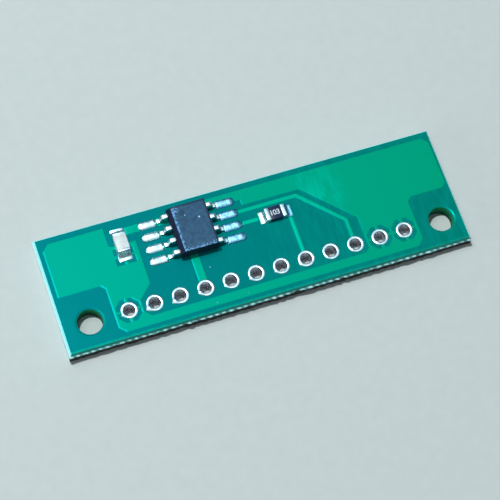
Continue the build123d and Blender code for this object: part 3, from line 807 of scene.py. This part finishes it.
epoxy = moulded_epoxy()
parting = (chip_low.z + chip_high.z) / 2
work = bmesh.new()
bmesh.ops.create_cube(work, size=2.0)
bmesh.ops.scale(work, vec=(chip_high - chip_low) / 2, verts=work.verts)
bmesh.ops.translate(work, vec=chip_centre, verts=work.verts)
bmesh.ops.bisect_plane(
    work, geom=work.verts[:] + work.edges[:] + work.faces[:], plane_co=(0, 0, parting),
    plane_no=(0, 0, 1),
)
for v in work.verts:
    if abs(v.co.z - parting) > WELD:
        v.co.x -= DRAFT * (1 if v.co.x > chip_centre.x else -1)
        v.co.y -= DRAFT * (1 if v.co.y > chip_centre.y else -1)
pin_1_edge = [
    e for e in work.edges
    if all(v.co.z > parting + WELD and v.co.x < chip_centre.x for v in e.verts)
]
bmesh.ops.bevel(
    work, geom=pin_1_edge, offset=BEVEL_IN, affect="EDGES", segments=1, profile=0.5, material=-1
)
round_edges(work, CHIP_ROUND, least=12)
top_face = max(work.faces, key=lambda f: f.calc_area() if f.normal.z > 0.99 else 0.0)
around = list(top_face.edges)
bmesh.ops.delete(work, geom=[top_face], context="FACES_ONLY")
circle = bmesh.ops.create_circle(
    work, segments=40, radius=DIMPLE_RADIUS, matrix=Matrix.Translation(DIMPLE_CENTRE)
)["verts"]
lip = list({e for v in circle for e in v.link_edges})
bmesh.ops.triangle_fill(work, edges=around + lip, use_beauty=True)
for inset, drop in DIMPLE_STEPS:
    circle, lip = draw_out(work, lip)
    for v in circle:
        away = (v.co - DIMPLE_CENTRE).normalized()
        v.co = DIMPLE_CENTRE + away * (DIMPLE_RADIUS - inset)
    for v in circle:
        v.co.z = chip_high.z - drop
bmesh.ops.edgenet_fill(work, edges=lip)
bmesh.ops.recalc_face_normals(work, faces=work.faces)
add_piece("chip_moulding", work, [epoxy], ["chip_body"], crease=12)

# ---- Capacitor ---------------------------------------------------------------------------------
# A fired ceramic block with silver and tin at both ends, soldered to two pads. Its fillets climb
# the ends part of the way and come down hollow.

BLOCK_ROUND = 0.09
END_ROUND = 0.085
TUCK = 0.1  # how far the block runs into its plated ends
PLATING = 0.012  # how far the plating stands off what it covers
CAP_UNDER = 0.42  # how far a joint reaches under the block
CAP_CLIMB = 0.62  # height of a fillet at the block, over its rim
CAP_FOOT = 0.62  # share of the fillet's length over which it comes down
CAP_TOE = 0.06  # and where it has come down
CAP_HOLLOW, CAP_NARROWS = 1.25, 0.10  # exponent of its slope, and share by which it narrows
BLOTCH = 1 / 2.6


def fired_ceramic():
    """Barium titanate ceramic, tumbled and fired: cream, faintly blotched, soft gloss."""
    material, tree, surface, place = new_material("barium_titanate_fired")
    blotch = add_node(
        tree, "TexNoise", {"Vector": place, "Scale": 1 / BLOTCH, "Detail": 4.0}
    ).outputs[0]
    spread = add_node(tree, "MapRange", {0: blotch, 1: 0.38, 2: 0.62}).outputs[0]
    colour = add_node(
        tree, "Mix", {0: spread, 6: srgb("D2D6D4"), 7: srgb("D2F0F6")}, data_type="RGBA"
    ).outputs[2]
    bump = add_node(tree, "Bump", {"Height": blotch, "Strength": 0.2, "Distance": 0.03 / METRE})
    feed(surface, {"Base Color": colour, "Normal": bump.outputs[0], "Roughness": 0.42})
    return material


def block(low, high, radius, segments=3):
    """A rounded block between two corners."""
    work = bmesh.new()
    bmesh.ops.create_cube(work, size=1.0)
    bmesh.ops.scale(work, vec=high - low, verts=work.verts)
    bmesh.ops.translate(work, vec=(high + low) / 2, verts=work.verts)
    round_edges(work, radius, segments=segments, least=40)
    return work


ceramic = fired_ceramic()
dull_termination = plated_tin("tin_on_fired_silver_dull", "98B4C8", "C4DCEA", 0.42)
low, high = size_of("capacitor_body")
tuck = Vector((0, TUCK, 0))
add_piece(
    "capacitor_block", block(low - tuck, high + tuck, BLOCK_ROUND), [ceramic],
    ["capacitor_body"],
)
cap_low, cap_high = size_of("capacitor_termination_front", "capacitor_termination_back")
for place, out in (("front", FRONT), ("back", BACK)):
    node = f"capacitor_termination_{place}"
    low, high = size_of(node)
    proud = Vector((PLATING, 0, PLATING))
    add_piece(
        f"capacitor_end_{place}", block(low - proud, high + proud, END_ROUND),
        [dull_termination], [node],
    )
    node = f"capacitor_solder_{place}"
    low, high = size_of(node)
    edge = cap_low.y if out == FRONT else cap_high.y
    pad_end = low.y if out == FRONT else high.y
    reach = abs(pad_end - edge) + CAP_UNDER

    def fillet_width(t, wide=(high.x - low.x) / 2):
        return wide * (1 - CAP_NARROWS * t**3)

    def fillet_height(t, start=CAP_UNDER / reach):
        away = min(max(0.0, (t - start) / (1 - start)) / CAP_FOOT, 1.0)
        slope = CAP_TOE + (CAP_CLIMB - CAP_TOE) * (1 - away) ** CAP_HOLLOW
        return slope if t > start else CAP_CLIMB

    work = solder_bar(
        Vector(((low.x + high.x) / 2, edge - out * CAP_UNDER, JOINT_BED)), reach,
        fillet_width, fillet_height, Vector((0, out, 0)), 20 + out, crown=2.6,
    )
    add_piece(f"capacitor_joint_{place}", work, [solder], [node], crease=50)

# ---- Resistor ----------------------------------------------------------------------------------
# A white alumina slab with a printed film under a black glass coat, plated ends and a three-digit
# value printed on the coat.

SLAB_ROUND = 0.02
GLASS_ROUND = 0.022
GLASS_OVERLAP = 0.01  # how far the coat runs under the plated ends
GLASS_SHADE_WRAP = 0.06  # how far the coat stands out past the slab's front and back, covering them as painted shade
TERMINATION_ROUND = 0.035
PRINT_SIZE = 0.74
PRINT_LEFT, PRINT_FORWARD, PRINT_LIFT = 0.09, 0.03, 0.003
PAD_CLEAR = 0.04  # the solder stays this far inside the plated end's inner edge
TOE_SHY = 0.06  # how far short of its pad's end the solder stops
TOE_DEPTH = 0.05
TOE_HOLLOW, TOE_NARROWS = 3.6, 0.06
UNDER_SHARE = 0.7  # height of the solder under the end, as a share of the fillet's
GLASS_CLOUD = 1 / 3.5
CHALK = 0.125  # grains of alumina and ink are too fine to show, so they are drawn coarser


def glass_coat():
    """Screen-printed black glass, fired: smooth, with a soft edge."""
    material, tree, surface, place = new_material("overglaze_black_fired")
    cloud = add_node(
        tree, "TexNoise", {"Vector": place, "Scale": 1 / GLASS_CLOUD, "Detail": 3.0}
    ).outputs[0]
    colour = add_node(
        tree, "Mix", {0: cloud, 6: srgb("101E3A"), 7: srgb("26365A")}, data_type="RGBA"
    ).outputs[2]
    bump = add_node(tree, "Bump", {"Height": cloud, "Strength": 0.2, "Distance": 0.02 / METRE})
    feed(surface, {"Base Color": colour, "Normal": bump.outputs[0]})
    feed(surface, {"Roughness": 0.32, "Specular IOR Level": 0.2})
    return material


def alumina_and_ink(name, shade, light):
    """White alumina, or the white ink that is fired on the coat: chalky, slightly uneven."""
    material, tree, surface, place = new_material(name)
    cloud = add_node(
        tree, "TexNoise", {"Vector": place, "Scale": 1 / CHALK, "Detail": 3.0}
    ).outputs[0]
    colour = add_node(
        tree, "Mix", {0: cloud, 6: srgb(shade), 7: srgb(light)}, data_type="RGBA"
    ).outputs[2]
    feed(surface, {"Base Color": colour, "Roughness": 0.55})
    return material


# painted shade: the white alumina is given a grey tone for its sides in shade
alumina = alumina_and_ink("alumina_96_fired_greyed_as_shade", "AEB8BE", "CCD2D4")
ink = alumina_and_ink("marking_ink_fired", "BFD8E6", "F2FBFF")
glass = glass_coat()
termination = plated_tin("tin_on_fired_silver", "B4DCE6", "DCFCFF", 0.30)
low, high = size_of("resistor_body")
slab_low = low.z
# the plating lies over the slab's sides, so the slab stands a little inside it
skin = Vector((PLATING, PLATING, 0))
add_piece(
    "resistor_slab", block(low + skin, high - skin, SLAB_ROUND, segments=2), [alumina],
    ["resistor_body"],
)
low, high = size_of("resistor_coating")
coat_top = high.z
low.x = max(low.x, size_of("resistor_termination_left")[1].x - GLASS_OVERLAP)
high.x = min(high.x, size_of("resistor_termination_right")[0].x + GLASS_OVERLAP)
# painted shade: the black coat runs down the slab's front and back to just above its underside
low.z = slab_low + GLASS_OVERLAP
shade_wrap = Vector((0, GLASS_SHADE_WRAP, 0))
add_piece(
    "resistor_glass", block(low - shade_wrap, high + shade_wrap, GLASS_ROUND), [glass],
    ["resistor_coating"],
)
print_curve = bpy.data.curves.new("value_print", "FONT")
print_curve.body = "103"
print_curve.align_x = "CENTER"
print_curve.align_y = "CENTER"
print_curve.size = PRINT_SIZE
print_curve.offset = 0.008
print_curve.space_character = 0.92
print_object = bpy.data.objects.new("value_print", print_curve)
scene.collection.objects.link(print_object)
bpy.context.view_layer.update()
graph = bpy.context.evaluated_depsgraph_get()
letters = bpy.data.meshes.new_from_object(print_object.evaluated_get(graph))
bpy.data.objects.remove(print_object)
work = bmesh.new()
work.from_mesh(letters)
bpy.data.meshes.remove(letters)
centre = (low + high) / 2
bmesh.ops.translate(
    work, vec=(centre.x - PRINT_LEFT, centre.y - PRINT_FORWARD, coat_top + PRINT_LIFT),
    verts=work.verts,
)
add_piece("resistor_value", work, [ink])

for place, out in (("left", LEFT), ("right", RIGHT)):
    node = f"resistor_termination_{place}"
    low, high = size_of(node)
    add_piece(
        f"resistor_end_{place}", block(low, high, TERMINATION_ROUND), [termination],
        [node],
    )
    edge = low.x if out == LEFT else high.x
    under = high.x - low.x - PAD_CLEAR
    node = f"resistor_solder_{place}"
    low, high = size_of(node)
    pad_end = low.x if out == LEFT else high.x
    reach = abs(pad_end - edge) + under - TOE_SHY

    def toe_width(t, wide=(high.y - low.y) / 2):
        return wide * (1 - TOE_NARROWS * t**3)

    def toe_height(t, start=under / reach, top=high.z - copper_top):
        away = max(0.0, (t - start) / (1 - start))
        slope = TOE_DEPTH + (top - TOE_DEPTH) * (1 - away) ** TOE_HOLLOW
        return slope if t > start else top * UNDER_SHARE

    work = solder_bar(
        Vector((edge - out * under, (low.y + high.y) / 2, JOINT_BED)), reach, toe_width,
        toe_height, Vector((out, 0, 0)), 30 + out, crown=5,
    )
    # the right joint takes the crinkled solder with its painted shade
    finish = solder if out == LEFT else crinkled
    add_piece(f"resistor_joint_{place}", work, [finish], [node], crease=50)

# ---- Floor, light and camera -------------------------------------------------------------------
# A plain pale surface, a soft lamp almost overhead, a wide soft box behind it and a low one on the
# left. The camera looks down from the front left.

FLOOR_HALF = 4.0
FLOOR_DROP = 0.02 / METRE
floor_material, tree, surface, place = new_material("pale_card")
tone = add_node(tree, "TexNoise", {"Vector": place, "Scale": 0.9, "Detail": 4.0}).outputs[0]
colour = add_node(
    tree, "Mix", {0: tone, 6: srgb("C6CECC"), 7: srgb("CFD6D4")}, data_type="RGBA"
).outputs[2]
feed(surface, {"Base Color": colour, "Roughness": 0.9, "Specular IOR Level": 0.2})
work = bmesh.new()
bmesh.ops.create_grid(work, x_segments=4, y_segments=4, size=FLOOR_HALF)
bmesh.ops.translate(work, vec=(0, 0, -FLOOR_DROP), verts=work.verts)
floor_mesh = bpy.data.meshes.new("floor")
work.to_mesh(floor_mesh)
work.free()
floor_mesh.materials.append(floor_material)
floor = bpy.data.objects.new("floor", floor_mesh)
scene.collection.objects.link(floor)

world = bpy.data.worlds.new("studio")
scene.world = world
world.use_nodes = True
tree = world.node_tree
tree.nodes.clear()
soft = add_node(tree, "Background", {"Color": srgb("EAF6FF"), "Strength": 0.22})
aim = add_node(tree, "TexCoord").outputs["Generated"]
# the room is palest at the upper left in front, and darker away from there and lower down
palest = Vector((-0.55, -0.45, 0.70)).normalized()
toward = add_node(
    tree, "VectorMath", {0: aim, 1: palest}, operation="DOT_PRODUCT"
).outputs["Value"]
fall = add_node(tree, "MapRange", {0: toward, 1: -0.35, 2: 0.45}).outputs[0]
tone = add_node(tree, "Mix", {0: fall, 6: srgb("5E9CC8"), 7: srgb("F4FEFF")}, data_type="RGBA")
room = add_node(tree, "MapRange", {0: toward, 1: -0.45, 2: 0.5, 3: 0.45, 4: 1.0}).outputs[0]
upward = add_node(tree, "SeparateXYZ", {0: aim}).outputs[2]
upward = add_node(tree, "MapRange", {0: upward, 1: 0.2, 2: 0.8, 3: 0.10, 4: 1.0}).outputs[0]
room = add_node(tree, "Math", {0: room, 1: upward}, operation="MULTIPLY").outputs[0]
pale = add_node(tree, "Background", {"Color": tone.outputs[2], "Strength": room})
rays = add_node(tree, "LightPath").outputs
seen = add_node(
    tree, "Math", {0: rays["Is Camera Ray"], 1: rays["Is Glossy Ray"]}, operation="MAXIMUM"
).outputs[0]
seen = add_node(
    tree, "Math", {0: seen, 1: rays["Is Transmission Ray"]}, operation="MAXIMUM"
).outputs[0]
sky = add_node(tree, "MixShader", {0: seen, 1: soft.outputs[0], 2: pale.outputs[0]})
add_node(tree, "OutputWorld", {"Surface": sky.outputs[0]})


def lamp(name, place, size, power, colour):
    """A square soft box that faces the middle of the board."""
    light = bpy.data.lights.new(name, "AREA")
    light.shape = "SQUARE"
    light.size = size
    light.energy = power
    light.color = srgb(colour)[:3]
    box = bpy.data.objects.new(name, light)
    box.location = place
    box.rotation_euler = (-Vector(place)).to_track_quat("-Z", "Y").to_euler()
    scene.collection.objects.link(box)


lamp("key", (-0.084, 0.095, 0.45), 0.022, 1.40, "FBFFFF")
lamp("window_left", (-0.15, 0.16, 0.40), 0.16, 0.36, "E6F6FF")
lamp("fill_left", (-0.40, -0.05, 0.10), 0.20, 0.35, "E6F6FF")

eye = Vector((-37.577, -61.377, 170.916)) / METRE
forward = Vector((0.20052, 0.32937, -0.92266)).normalized()
up = Vector((0.27291, 0.88573, 0.37550)).normalized()
camera_data = bpy.data.cameras.new("camera")
camera_data.lens = 138.08
camera_data.sensor_width = 36.0
camera_data.clip_start = 0.005
camera = bpy.data.objects.new("camera", camera_data)
right = forward.cross(up).normalized()
up = right.cross(forward)
camera.matrix_world = Matrix.Translation(eye) @ Matrix((right, up, -forward)).transposed().to_4x4()
scene.collection.objects.link(camera)
scene.camera = camera
scene.view_settings.view_transform = "Standard"
